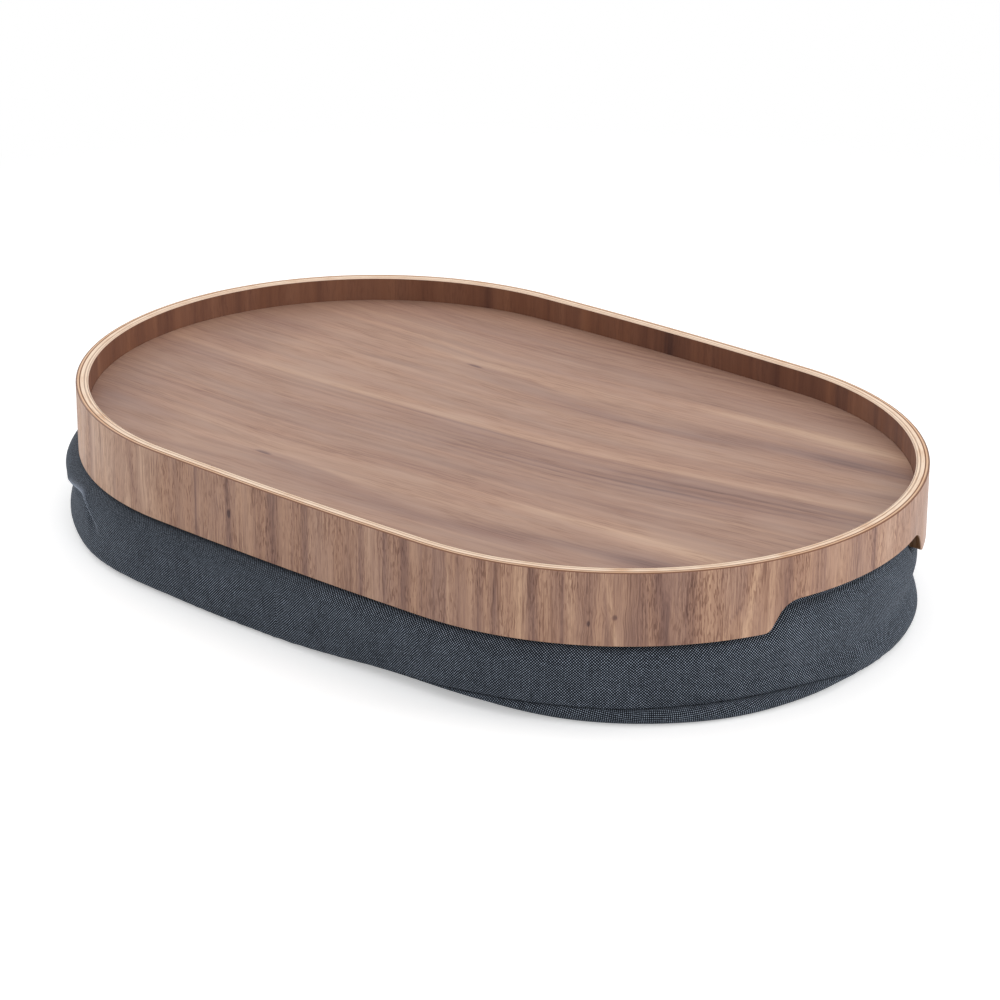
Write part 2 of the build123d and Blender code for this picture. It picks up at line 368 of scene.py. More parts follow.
FLOOR_MARKS = (
    # middle x mm, middle y mm, half length mm, half width mm, slope, curve per mm, darkness; both leaves have each
    (135, 109, 75, 3.8, 0.1, -0.0002, -0.24), (175, 108, 45, 8, 0.02, 0, -0.12),
    (55, 104, 60, 2.5, 0.05, 0, -0.08), (130, 80, 62, 7, 0.22, 0.0004, 0.24), (195, 90, 40, 8, 0.25, 0, 0.24),
    (60, 60, 70, 5, 0.12, 0, 0.12), (190, 55, 45, 5, 0.3, 0, 0.15), (-10, 62, 60, 5, 0, 0, 0.13),
    (-112, 47, 30, 3, 0.12, 0, 0.14), (-150, 36, 60, 12, 0.1, 0, -0.07), (-85, 74, 40, 3.5, 0.12, 0, -0.12),
    (-30, 74, 40, 3, -0.05, 0, -0.1), (-40, 72, 26, 2.2, -0.06, -0.0006, 0.13), (0, 40, 90, 4, 0.06, 0, -0.05),
    (-205, 30, 26, 60, 0, 0, 0.12), (-180, -95, 40, 22, -0.4, 0, 0.12), (165, 14, 75, 15, 0.22, 0, 0.17),
    (60, -14, 110, 16, 0.1, 0, 0.08), (20, 84, 90, 10, 0.04, 0, -0.06), (-60, 118, 120, 8, 0.02, 0, 0.05),
    (80, 128, 110, 5, 0.1, 0, 0.08),
)


WALL_DARK, FLOOR_DARK = 0.45, 0.48  # darkness of the veneer between its streaks
LEAN_HEIGHT = 60  # height mm at which a streak passes its place
KNOT_PUSH = 2.2 * MM  # how far the lines part round a knot
PEAK_PALE, PEAK_LINE = 0.12, 0.20  # how much paler the wood is below a tip, and how dark the line beside it
FLOOR_BEND = (-2.7, 44.5)  # mm across at the bend's start, and its rise over one run
BEND_START, BEND_RUN, BEND_POWER = -130, 350, 1.9  # mm along the floor, and the power of the share of the run
FLOOR_PUSH = (4.5, 7, 30, 18)  # how far the lines part at a floor knot, over how much, and its spread along and across
KNOT_TAIL = (0.12, 10, 16, -1.5, 2.2)  # darkness beside a floor knot, and its place and spread along and across


def wall_figure(s, z, streaks, knots):
    """Darkness of the figure and the distance that its lines are pushed aside, on a wall.
    Each streak is a bell curve across the wall, shifted by its lean; lines part round each knot. Below the tip of a
    peak the two flanks spread, the wood between them is paler and a dark line follows the left one."""
    dark, push = np.full_like(s, WALL_DARK), np.zeros_like(s)
    for place, half, depth, lean in streaks:
        across = (s / MM - place - lean * (LEAN_HEIGHT - z / MM)) / half
        dark += depth * np.exp(-across ** 2)
    for place, height, wide, tall, _ in knots:
        ds, dz = s / MM - place, z / MM - height
        push += KNOT_PUSH * ds / (3 * wide) * np.exp(-(ds / (3.5 * wide)) ** 2 - (dz / (3.5 * tall)) ** 2)
    for place, tip, left, right in OUTER_PEAKS if knots else ():
        drop = tip - z / MM
        left_gap, right_gap = s / MM - place + left * drop, place + right * drop - s / MM
        dark -= PEAK_PALE * smooth(drop / 1.5) * smooth(left_gap / 1.2) * smooth(right_gap / 1.2)
        dark += PEAK_LINE * smooth(drop / 1.5) * bell(left_gap, 0, 0.7)
    return dark, push


def drawn_streaks(count, low, high, seed):
    """Streaks for the walls that no view of the real tray shows, drawn at even chance along them."""
    draw = np.random.default_rng(seed)
    rows = zip(draw.uniform(low, high, count), draw.uniform(1, 6, count), draw.uniform(-0.26, 0.24, count))
    return tuple((place, half, depth, 0.0) for place, half, depth in rows)


def floor_figure(x, y):
    """Darkness of the floor's figure and the distance across its grain, in metres.
    The grain lines bend up to the right as a power of x, and each leaf repeats the one below it."""
    xm, ym = x / MM, y / MM
    bend = FLOOR_BEND[0] + FLOOR_BEND[1] * np.clip((xm - BEND_START) / BEND_RUN, 0, 2) ** BEND_POWER
    share = 0.8 + 0.2 * np.cos(2 * np.pi * (ym - 0.8 * bend) / LEAF)
    across = ym - share * bend + 0.9 * np.sin(xm / 37 + ym / 40)
    push, steep, long, wide = FLOOR_PUSH
    for kx, ky in FLOOR_KNOTS:
        dx, dy = xm - kx, ym - ky
        across += push * np.tanh(dy / steep) * np.exp(-(dx / long) ** 2 - (dy / wide) ** 2)
    place = np.mod(across + LEAF / 2, LEAF) - LEAF / 2
    dark = np.full_like(xm, FLOOR_DARK)
    for at, half, depth in FLOOR_STREAKS:
        gap = np.mod(place - at + LEAF / 2, LEAF) - LEAF / 2
        fade = 0.55 + 0.45 * np.sin(xm / 61 + at)
        dark += depth * (fade if at else 1) * bell(gap, 0, half)
    for cx, cy, long, wide, slope, curve, depth in FLOOR_MARKS:
        for shift in (0, -LEAF):
            dx = xm - cx
            dy = ym - cy - shift - slope * dx - curve * dx ** 2
            dark += depth * np.exp(-(dx / long) ** 4 - (dy / wide) ** 2)
    depth, ahead, long, aside, wide = KNOT_TAIL
    for kx, ky in FLOOR_KNOTS:
        dx, dy = xm - kx, ym - ky
        dark += depth * np.exp(-((dx - ahead) / long) ** 2 - ((dy - aside) / wide) ** 2)
    return dark, across * MM


# Materials

def fill(node, settings):
    """Sets a node's properties and sockets by name or number; a socket that is given an output is linked to it."""
    for key, value in settings.items():
        if key == "stops":
            band = node.color_ramp
            for stop in value[1:-1]:
                band.elements.new(stop[0])
            for element, (place, shade) in zip(band.elements, value):
                element.position, element.color = place, shade
        elif isinstance(value, bpy.types.NodeSocket):
            node.id_data.links.new(value, node.inputs[key])
        elif isinstance(key, int) or key in node.inputs:
            node.inputs[key].default_value = value
        else:
            setattr(node, key, value)


def add(tree, kind, settings=None, *values):
    """Adds a shader node with its settings and links, the values going to its first sockets, and returns its
    outputs."""
    node = tree.nodes.new("ShaderNode" + kind)
    fill(node, settings or {})
    fill(node, dict(enumerate(values)))
    return node.outputs


def surface(name):
    """A material with an empty node tree but for its shader and output."""
    material = bpy.data.materials.new(name)
    material.use_nodes = True
    tree = material.node_tree
    return material, tree, tree.nodes["Principled BSDF"]


def grains(tree, vector, across, along, detail=3.0, turn=0.0):
    """Noise whose grains are across by along millimetres, in the grain's own coordinates."""
    place = add(tree, "Mapping", {
        "Vector": vector, "Scale": (1 / (across * MM), 1 / (along * MM), 1 / (along * MM)),
        "Location": (turn, turn * 0.7, turn * 0.3)})["Vector"]
    return add(tree, "TexNoise", {"Vector": place, "Scale": 1.0, "Detail": detail, "Roughness": 0.55})["Fac"]


def walnut(name, look, lines=WALL_LINES, pores=WALL_PORES, knots=(), warmth=WALL_WARMTH, tint=None, edges=None,
           from_objects=False):
    """Matt-lacquered walnut veneer, sliced and pressed on: soft streaks waver along the grain between hair lines and
    dark open pores, and a knot is a dark oval. Real pores are 0.2 mm wide, so they are drawn coarser to show. The
    lacquer leaves them open, so its gloss is low and broken.
    Each of lines is a weight, across and along in mm, detail and shift; each of pores is across and along in mm and
    a depth; edges are the colour of the upper cut edge and a pale painted highlight on the faces that look down, along
    the lower edge and its arris."""
    material, tree, shader = surface(name)
    if from_objects:
        place = add(tree, "TexCoord")["Object"]
        vector = add(tree, "Mapping", {"Rotation": (0, 0, math.pi / 2), "Vector": place})["Vector"]
        figure = add(tree, "Math", {"operation": "MULTIPLY_ADD"}, grains(tree, vector, 22, 400, 2, 3.1), 0.8, 0.1)[0]
    else:
        vector = add(tree, "UVMap", {"uv_map": "cloth_or_grain"})["UV"]
        figure = add(tree, "Attribute", {"attribute_name": "figure"})["Fac"]
    waver = add(tree, "Math", {"operation": "MULTIPLY_ADD"}, grains(tree, vector, 8, 14, 2, 9.1), 2 * WAVER, -WAVER)
    waver = add(tree, "CombineXYZ", {"X": waver[0]})["Vector"]
    vector = add(tree, "VectorMath", {"operation": "ADD"}, vector, waver)["Vector"]
    offset = -0.5 * sum(line[0] for line in lines)
    tone = add(tree, "Math", {"operation": "ADD"}, figure, offset)[0]
    for weight, across, along, detail, turn in lines:
        part = grains(tree, vector, across, along, detail, turn)
        tone = add(tree, "Math", {"operation": "MULTIPLY_ADD"}, part, weight, tone)[0]
    for place, height, wide, tall, deep in knots:
        gap = add(tree, "VectorMath", {"operation": "MULTIPLY_ADD"}, vector,
                  (1 / (wide * MM), 1 / (tall * MM), 0), (-place / wide, -height / tall, 0))["Vector"]
        gap = add(tree, "VectorMath", {"operation": "LENGTH"}, gap)["Value"]
        heart = add(tree, "MapRange", {"Value": gap, "From Min": 0.4, "From Max": 1.35, "To Min": deep,
                    "To Max": 0.0, "interpolation_type": "SMOOTHSTEP"})["Result"]
        tone = add(tree, "Math", {"operation": "ADD"}, tone, heart)[0]
    stops = ((0.0, look.pale), (0.42, look.middle), (0.75, look.deep), (1.0, look.knot))
    shade = add(tree, "ValToRGB", {"stops": stops, "Fac": tone})["Color"]
    warm = add(tree, "MapRange", {"Value": grains(tree, vector, 16, 90, 2, 4.4), "From Min": 0.42,
               "From Max": 0.62})["Result"]
    layers = [(warm, warmth)]
    for across, along, depth in pores:
        crowd = add(tree, "MapRange", {"Value": grains(tree, vector, 12, 60, 3, 6.6 + along), "From Min": 0.36,
                    "From Max": 0.62, "To Min": 0.1})["Result"]
        pits = add(tree, "MapRange", {"Value": grains(tree, vector, across, along, 0.5, 2.2), "From Min": 0.54,
                   "From Max": 0.63, "To Max": depth})["Result"]
        pits = add(tree, "Math", {"operation": "MULTIPLY"}, pits, crowd)[0]
        layers.append((pits, PORE_SHADE))
    if tint is not None:
        layers.append((1.0, tint))
    for share, over in layers:
        shade = add(tree, "Mix", {"data_type": "RGBA", "blend_type": "MULTIPLY", 0: share, 6: shade, 7: over})[2]
    if edges is not None:
        # faces that look up take the upper cut edge's colour; faces that look down are painted pale, a painted
        # highlight along the lower edge and its arris
        level = add(tree, "SeparateXYZ", None, add(tree, "NewGeometry")["True Normal"])["Z"]
        for low, high, cut in ((0.35, 0.6, edges[0]), (-0.3, -0.7, edges[1])):
            side = add(tree, "MapRange", {"Value": level, "From Min": low, "From Max": high})["Result"]
            shade = add(tree, "Mix", {"data_type": "RGBA", 0: side, 6: shade, 7: cut})[2]
    rough = add(tree, "MapRange", {"Value": crowd, "To Min": 0.40, "To Max": 0.58})["Result"]
    bump = add(tree, "Bump", {"Height": pits, "Strength": 0.5, "Distance": 0.08 * MM, "invert": True})["Normal"]
    fill(shader, {"Base Color": shade, "Roughness": rough, "Specular IOR Level": 0.45, "Normal": bump})
    return material


GLUE_SOAK = (0.10, 0.48)  # mm from a ply's side where the glue's brown is full and where it ends
PAINTED_SHADE_HEIGHTS = (60 * MM, 62 * MM)  # height where the painted shade on the lower edge and in the grip notches is full and where it ends


def birch(name, look, thickness, soaked, deep=0.0):
    """Birch plywood, rotary cut and sawn through: a pale cream edge with tan fibre lines along the strip, and wood
    soaked with brown glue beside each glue line, drawn 0.4 mm wide so that the line shows. The lower edge and the
    grip notches are painted dark brown as painted shade, full below 60 mm and gone by 62 mm.
    soaked is how much at the outer and the inner side, and deep mixes in the tan of a darker ply."""
    material, tree, shader = surface(name)
    vector = add(tree, "UVMap", {"uv_map": "cloth_or_grain"})["UV"]
    across = add(tree, "Attribute", {"attribute_name": "across"})["Fac"]
    along, height, _ = add(tree, "SeparateXYZ", {"Vector": vector})
    depth = add(tree, "Math", {"operation": "MULTIPLY"}, across, thickness)[0]
    lines = add(tree, "CombineXYZ", {"X": depth, "Y": along})["Vector"]
    fibre = grains(tree, lines, 0.35, 12, 2, 4.1)
    tone = add(tree, "Math", {"operation": "MULTIPLY"}, grains(tree, vector, 30, 3, 2, 7.7), 0.4)[0]
    tone = add(tree, "Math", {"operation": "MULTIPLY_ADD"}, fibre, 0.8, tone)[0]
    stops = ((0.45, look.birch), (0.60, look.birch), (0.82, look.birch_deep))
    shade = add(tree, "ValToRGB", {"stops": stops, "Fac": tone})["Color"]
    shade = add(tree, "Mix", {"data_type": "RGBA", 0: deep, 6: shade, 7: look.birch_deep})[2]
    for first, strength in enumerate(soaked):
        near, far = (abs(first - reach * MM / thickness) for reach in GLUE_SOAK)
        share = add(tree, "MapRange", {"Value": across, "From Min": near, "From Max": far, "To Min": strength,
                    "To Max": 0.0, "interpolation_type": "SMOOTHSTEP"})["Result"]
        shade = add(tree, "Mix", {"data_type": "RGBA", 0: share, 6: shade, 7: look.bond})[2]
    # painted shade: the birch turns dark brown below 60 mm, over the lower edge and in the grip notches
    low = add(tree, "MapRange", {"Value": height, "From Min": PAINTED_SHADE_HEIGHTS[0], "From Max": PAINTED_SHADE_HEIGHTS[1], "To Min": 0.9,
              "To Max": 0.0})["Result"]
    shade = add(tree, "Mix", {"data_type": "RGBA", 0: low, 6: shade, 7: look.painted_edge_shade})[2]
    bump = add(tree, "Bump", {"Height": fibre, "Strength": 0.4, "Distance": 0.06 * MM})["Normal"]
    fill(shader, {"Base Color": shade, "Roughness": 0.62, "Specular IOR Level": 0.3, "Normal": bump})
    return material


def birch_board(name, look):
    """The same birch as a flat board's core, seen only where it is cut: pale cream with tan fibre clouds."""
    material, tree, shader = surface(name)
    cloud = grains(tree, add(tree, "TexCoord")["Object"], 7, 7, 3, 2.6)
    stops = ((0.35, look.birch), (0.60, look.birch), (0.80, look.birch_deep))
    shade = add(tree, "ValToRGB", {"stops": stops, "Fac": cloud})["Color"]
    fill(shader, {"Base Color": shade, "Roughness": 0.62})
    return material


YARN_TONES = (
    # weight, across mm, along mm and shift of the tones in warp, weft, clots and clouds
    (0.9, 0.8, 9, 1.2), (0.7, 9, 0.8, 5.2), (0.9, 1.7, 1.7, 9.9), (0.5, 26, 26, 3.3),
)
THREAD_STRAY = 0.2 * MM  # how far a thread strays to either side


def weave(name, look, thread):
    """Plain-woven melange cover cloth: navy and pale grey threads cross over and under at each thread spacing, so a
    chequer of pale flecks shows; the yarn varies in tone along its length, with a few pale slubs, and a short nap
    catches side light. Where the attribute raised_nap is high, the nap stands over the chequer as a fine speckle, and
    along the left end's crease ridge a second attribute paints the cloth in the nap's colour: a painted highlight."""
    material, tree, shader = surface(name)
    vector = add(tree, "UVMap", {"uv_map": "cloth_or_grain"})["UV"]
    wobble = add(tree, "TexNoise", {"Vector": vector, "Scale": 300.0, "Detail": 1.0})["Color"]
    nudge = add(tree, "VectorMath", {"operation": "MULTIPLY_ADD"}, wobble, (2 * THREAD_STRAY,) * 3,
                (-THREAD_STRAY,) * 3)
    moved = add(tree, "VectorMath", {"operation": "ADD"}, vector, nudge["Vector"])["Vector"]
    turns = add(tree, "VectorMath", {"operation": "SCALE", "Scale": math.pi / thread}, moved)["Vector"]
    along, up, _ = add(tree, "SeparateXYZ", {"Vector": turns})
    warp = add(tree, "Math", {"operation": "SINE"}, along)[0]
    weft = add(tree, "Math", {"operation": "SINE"}, up)[0]
    crossing = add(tree, "Math", {"operation": "MULTIPLY"}, warp, weft)[0]
    over = add(tree, "MapRange", {"Value": crossing, "From Min": 0.13, "From Max": 0.86,
               "interpolation_type": "SMOOTHSTEP"})["Result"]
    yarn = 0.0
    for weight, across, run, turn in YARN_TONES:
        part = grains(tree, vector, across, run, 2, turn)
        yarn = add(tree, "Math", {"operation": "MULTIPLY_ADD"}, part, weight, yarn)[0]
    yarn = add(tree, "MapRange", {"Value": yarn, "From Min": 1.15, "From Max": 1.90, "To Min": 0.40,
               "To Max": 1.10})["Result"]
    slub = add(tree, "MapRange", {"Value": grains(tree, vector, 1.5, 1.5, 0, 7.1), "From Min": 0.66,
               "From Max": 0.78, "To Max": 0.6})["Result"]
    yarn = add(tree, "Math", {"operation": "ADD"}, yarn, slub)[0]
    share = add(tree, "Math", {"operation": "MULTIPLY", "use_clamp": True}, over, yarn)[0]
    raised = add(tree, "Attribute", {"attribute_name": "raised_nap"})["Fac"]
    fuzz = add(tree, "MapRange", {"Value": grains(tree, vector, 0.5, 0.5, 1, 4.7), "From Min": 0.40,
               "From Max": 0.66, "To Min": 0.03, "To Max": 0.23})["Result"]
    share = add(tree, "Mix", {"data_type": "FLOAT", 0: raised, 2: share, 3: fuzz})[0]
    shade = add(tree, "Mix", {"data_type": "RGBA", 0: share, 6: look.dark, 7: look.pale})[2]
    # painted highlight: the nap's colour is painted along the crease's ridge
    rubbed = add(tree, "Attribute", {"attribute_name": "rubbed"})["Fac"]
    shade = add(tree, "Mix", {"data_type": "RGBA", 0: rubbed, 6: shade, 7: look.nap})[2]
    height = add(tree, "Math", {"operation": "ABSOLUTE"}, crossing)[0]
    height = add(tree, "Mix", {"data_type": "FLOAT", 0: raised, 2: height, 3: 0.4})[0]
    bump = add(tree, "Bump", {"Height": height, "Strength": 0.5, "Distance": 0.12 * MM})["Normal"]
    fill(shader, {"Base Color": shade, "Roughness": 0.92, "Specular IOR Level": 0.12, "Sheen Weight": 0.10,
                  "Sheen Roughness": 0.5, "Sheen Tint": look.nap, "Normal": bump})
    return material


def tape(name, shade, grain, rough):
    """Nylon hook-and-loop tape, knitted and brushed or moulded: a dark matt mat of fine points in close rows."""
    material, tree, shader = surface(name)
    cells = add(tree, "TexVoronoi", {"Vector": add(tree, "TexCoord")["Object"],
                "Scale": 1 / (grain * MM), "Randomness": 0.6})["Distance"]
    tone = add(tree, "Mix", {"data_type": "RGBA", 0: cells, 6: shade, 7: linear("0B0B0D")})[2]
    bump = add(tree, "Bump", {"Height": cells, "Strength": 0.8, "Distance": 0.3 * MM, "invert": True})["Normal"]
    fill(shader, {"Base Color": tone, "Roughness": rough, "Sheen Weight": 0.3, "Normal": bump})
    return material


# Rim

SCARF_REACH = 60 * MM  # distance from the joint over which the layers' columns lean with the scarf


def rim_layer(shape, name, inset, thickness, low, high, material, eased=(), streaks=(), knots=(), pace=2 * MM, rows=15):
    """One bent layer: a thin upright section carried round the outline, from the scarf joint back to it.
    Its outer and inner face are inset and inset + thickness in from the outline; a grip notch lifts its foot."""
    around, ease = perimeter(shape), shape.arris
    level = np.linspace(0, 1, rows)
    section = np.concatenate([np.stack([0 * level, level], -1), np.stack([1 + 0 * level, level[::-1]], -1)])
    depth, level = inset + section[:, 0] * thickness, section[:, 1]
    steps = rim_steps(shape, pace)
    steps = steps / steps[-1] * (around - shape.scarf_gap) + shape.scarf_gap / 2
    total = rim_thickness(shape)
    lean = shape.scarf_lean / total * (depth - total / 2)
    near = 1 - smooth(np.minimum(steps, around - steps) / SCARF_REACH)
    s = steps[:, None] + near[:, None] * lean[None, :]
    x, y = outline(shape, s, -depth[None, :])[:2]
    foot = notch_edge(shape, x, y)
    foot = np.where(foot > low, np.minimum(foot, high), low)
    z = foot + level[None, :] * (high - foot)
    face = 0 if "outer" in eased else 1
    for side, corner, way in (("top", 1, -1), ("bottom", 0, 1)):
        if side in eased:
            z = z + way * ease * ((level == corner) & (section[:, 0] == face))
    count = len(section)
    points = np.stack([x, y, z], -1).reshape(-1, 3)
    distance = np.broadcast_to(s, x.shape)
    signed = from_joint(shape, distance)
    dark, push = wall_figure(signed, z, streaks, knots)
    uv = np.stack([signed + push, z], -1).reshape(-1, 2)
    across = np.broadcast_to(section[:, 0], x.shape).reshape(-1)
    quads = np.stack([np.arange(rows - 1), np.arange(1, rows), count - 2 - np.arange(rows - 1),
                      count - 1 - np.arange(rows - 1)], -1)
    faces = np.concatenate([grid_faces(len(steps), count, wrap_columns=True)[:, ::-1], quads,
                            quads[:, ::-1] + (len(steps) - 1) * count])
    return put_mesh(name, points, [faces], material, uv, {"figure": np.clip(dark, 0, 1).reshape(-1), "across": across})


class LAPTRAY_OT_rim(bpy.types.Operator):
    """Builds the rim's five bent layers"""
    bl_idname = "laptray.rim"
    bl_label = "Rim"

    def execute(self, context):
        shape, look = context.scene.tray_shape, context.scene.wood_look
        # the second colour of edges, the walnut's pale, is a painted highlight on the rim's lower edge
        walnut_out = walnut("walnut_veneer_matt_lacquer", look, knots=OUTER_KNOTS, edges=(look.end_grain, look.pale))
        walnut_in = walnut("walnut_veneer_inner_face", look, INNER_LINES, INNER_PORES, tint=look.inner,
                           edges=(look.inner_edge, look.pale))
        outer_edge = birch("birch_outer_ply_sawn_edge", look, shape.face_ply, (0.5, 1.0), 0.6)
        core_edge = birch("birch_core_ply_sawn_edge", look, shape.core_ply, (0.9, 0.45))
        inner_edge = birch("birch_inner_ply_sawn_edge", look, shape.face_ply, (0.45, 0.2))
        outer_streaks = OUTER_STREAKS + drawn_streaks(*OUTER_DRAWN)
        inner_streaks = drawn_streaks(*INNER_DRAWN) + INNER_STREAKS
        low, high, step = shape.rim_low, shape.rim_high, shape.glue
        outer_ply = shape.veneer + step
        core = outer_ply + shape.face_ply + step
        inner_ply = core + shape.core_ply + step
        inner = inner_ply + shape.face_ply + step
        made = [
            (rim_layer(shape, "outer_veneer", 0, shape.veneer, low, high, walnut_out, ("top", "outer", "bottom"),
                       outer_streaks, OUTER_KNOTS, 1 * MM, 20), "rim_outer_veneer", "walnut_veneer"),
            (rim_layer(shape, "outer_ply", outer_ply, shape.face_ply, low, high, outer_edge),
             "rim_outer_ply", "birch_ply"),
            (rim_layer(shape, "core_ply", core, shape.core_ply, low, high, core_edge), "rim_core_ply", "birch_ply"),
            (rim_layer(shape, "inner_ply", inner_ply, shape.face_ply, low, high, inner_edge),
             "rim_inner_ply", "birch_ply"),
            (rim_layer(shape, "inner_veneer_upper", inner, shape.veneer, shape.groove_high, high, walnut_in,
                       ("top",), inner_streaks), "rim_inner_veneer", "walnut_veneer"),
            (rim_layer(shape, "inner_veneer_lower", inner, shape.veneer, low, shape.groove_low, walnut_in,
                       (), inner_streaks), "rim_inner_veneer", "walnut_veneer"),
        ]
        for obj, node, slot in made:
            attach(obj, "tray")
            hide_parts(node)
        return {"FINISHED"}


# Board

DISC_PACE = 2.4 * MM  # distance between two points of the floor veneer's outline
HUB_SHARE = 0.004  # share of the outline at which a flat piece's innermost ring lies
LOWER_RINGS = 6
FLOOR_RINGS = 84


def disc(shape, inset, low, high, rings):
    """Closed plate with the tray's outline: rings of points shrink towards the centre by an even share, and a fan of
    three-corner faces closes each hub. Returns its points and its faces."""
    around = perimeter(shape)
    s = np.linspace(0, around, int(around / DISC_PACE), endpoint=False)
    x, y = outline(shape, s, -inset)[:2]
    share = np.concatenate([np.linspace(HUB_SHARE, 1, rings), [1.0], np.linspace(1, HUB_SHARE, LOWER_RINGS)])
    z = np.concatenate([np.full(rings, high), np.full(1 + LOWER_RINGS, low)])
    points = np.stack([share[:, None] * x, share[:, None] * y, np.broadcast_to(z[:, None], (len(z), len(s)))], -1)
    count = len(s)
    points = np.concatenate([points.reshape(-1, 3), [[0, 0, high], [0, 0, low]]])
    hub, first = len(points) - 2, np.arange(count)
    last = (len(share) - 1) * count + first
    top = np.stack([first, np.roll(first, -1), np.full(count, hub)], -1)
    bottom = np.stack([np.roll(last, -1), last, np.full(count, hub + 1)], -1)
    return points, [grid_faces(len(share), count, wrap_columns=True), np.concatenate([top, bottom])]


class LAPTRAY_OT_board(bpy.types.Operator):
    """Builds the floor veneer and gives the board's core and backing their finishes"""
    bl_idname = "laptray.board"
    bl_label = "Board"

    def execute(self, context):
        shape, look = context.scene.tray_shape, context.scene.wood_look
        inset = rim_thickness(shape) + shape.board_gap
        points, faces = disc(shape, inset, shape.groove_high, shape.floor, FLOOR_RINGS)
        dark, across = floor_figure(points[:, 0], points[:, 1])
        places = floor_figure(*(np.array(FLOOR_KNOTS).T * MM))[1] / MM
        knots = [(float(place), knot[0], *FLOOR_KNOT_SHAPE) for place, knot in zip(places, FLOOR_KNOTS)]
        finish = walnut("walnut_veneer_floor", look, FLOOR_LINES, FLOOR_PORES, knots, FLOOR_WARMTH, FLOOR_TINT)
        uv = np.stack([across, points[:, 0]], -1)
        floor = put_mesh("floor_veneer", points, faces, finish, uv, {"figure": np.clip(dark, 0, 1)}, angle=40)
        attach(floor, "tray")
        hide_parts("board_top_veneer")
        for node, material in (("board_backing_veneer", walnut("walnut_veneer_backing", look, from_objects=True)),
                               ("board_core", birch_board("birch_ply_board", look))):
            dress(node, material)
        return {"FINISHED"}


# Cushion

